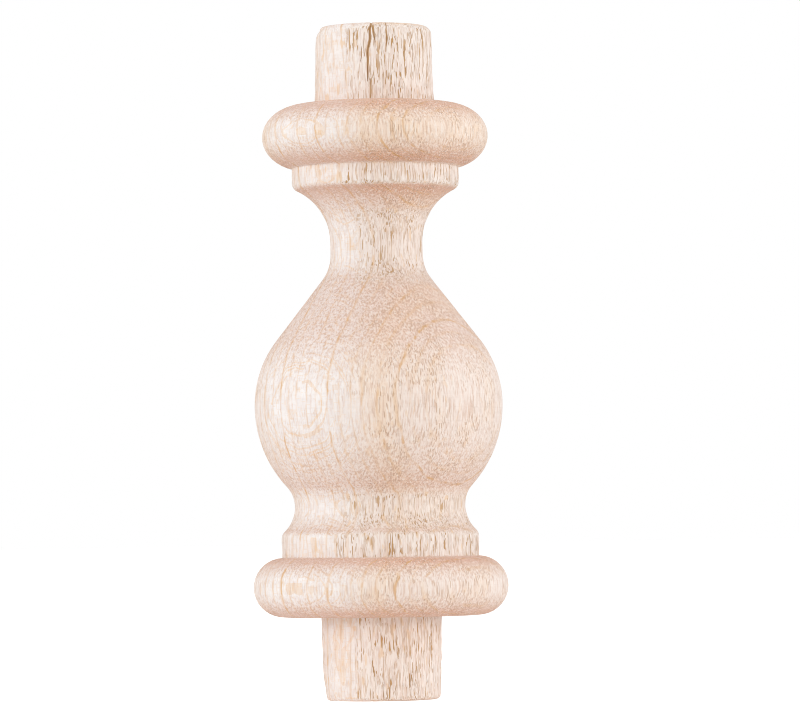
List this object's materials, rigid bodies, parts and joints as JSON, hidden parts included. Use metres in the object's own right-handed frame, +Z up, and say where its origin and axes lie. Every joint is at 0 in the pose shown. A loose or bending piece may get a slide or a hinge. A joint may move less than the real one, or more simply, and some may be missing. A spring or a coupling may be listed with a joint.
{
  "type": "turned wooden spindle",
  "caption": "Small turned wooden gallery spindle: a bulb tapering to a narrow neck between beads and coves, with a round tenon at each end that plugs into bored rails.",
  "frame": {"origin": "middle of the lower tenon's flat end face, which the spindle stands on", "axes": "+Z up along the turning axis, towards the upper tenon; X and Y are alike, and the picture looks along +Y"},
  "size_m": [0.0174, 0.0174, 0.046],
  "materials": {
    "bare_wood": "bare sanded pale hardwood, matt, with ray fleck on one side, fine brown pores and torn end grain on the tenons"
  },
  "bodies": {
    "root": {"spindle": "bare_wood"}
  },
  "joints": []
}
